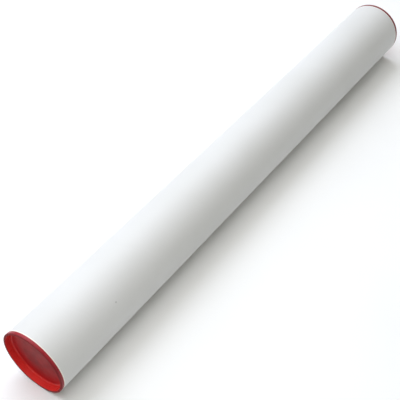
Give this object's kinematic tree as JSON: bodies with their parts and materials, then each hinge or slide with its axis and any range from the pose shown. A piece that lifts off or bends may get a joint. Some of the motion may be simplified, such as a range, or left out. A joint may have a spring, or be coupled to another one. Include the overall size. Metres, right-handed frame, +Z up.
{
  "type": "rolled fire blanket in a tube",
  "caption": "Long white round board tube with a recessed red plug in each end, holding a rolled glass-fibre fire blanket with webbing pull tapes.",
  "frame": {"origin": "on the ground under the middle of the lying tube, the bottom centre of the bounding box", "axes": "+X along the tube from the opening end (near plug) to the closed end (far plug), +Z up"},
  "size_m": [0.946, 0.102, 0.102],
  "materials": {
    "tube_board": "satin",
    "plug_plastic": "satin",
    "blanket_cloth": "matte",
    "tape_webbing": "matte",
    "seam_thread": "matte"
  },
  "bodies": {
    "tube": {"tube": "tube_board"},
    "blanket": {"blanket_roll": "blanket_cloth", "pull_tape_1": "tape_webbing", "pull_tape_2": "tape_webbing", "tape_stitching_1": "seam_thread", "tape_stitching_2": "seam_thread"},
    "near_plug": {"near_plug": "plug_plastic"},
    "far_plug": {"far_plug": "plug_plastic"}
  },
  "joints": [
    {"name": "blanket_draw", "type": "slide", "parent": "tube", "child": "blanket", "axis": [-1, 0, 0], "range_m": [0, 0.95]},
    {"name": "near_plug_pull", "type": "slide", "parent": "blanket", "child": "near_plug", "axis": [-1, 0, 0], "range_m": [0, 0.12]},
    {"name": "far_plug_pull", "type": "slide", "parent": "tube", "child": "far_plug", "axis": [1, 0, 0], "range_m": [0, 0.12]}
  ]
}
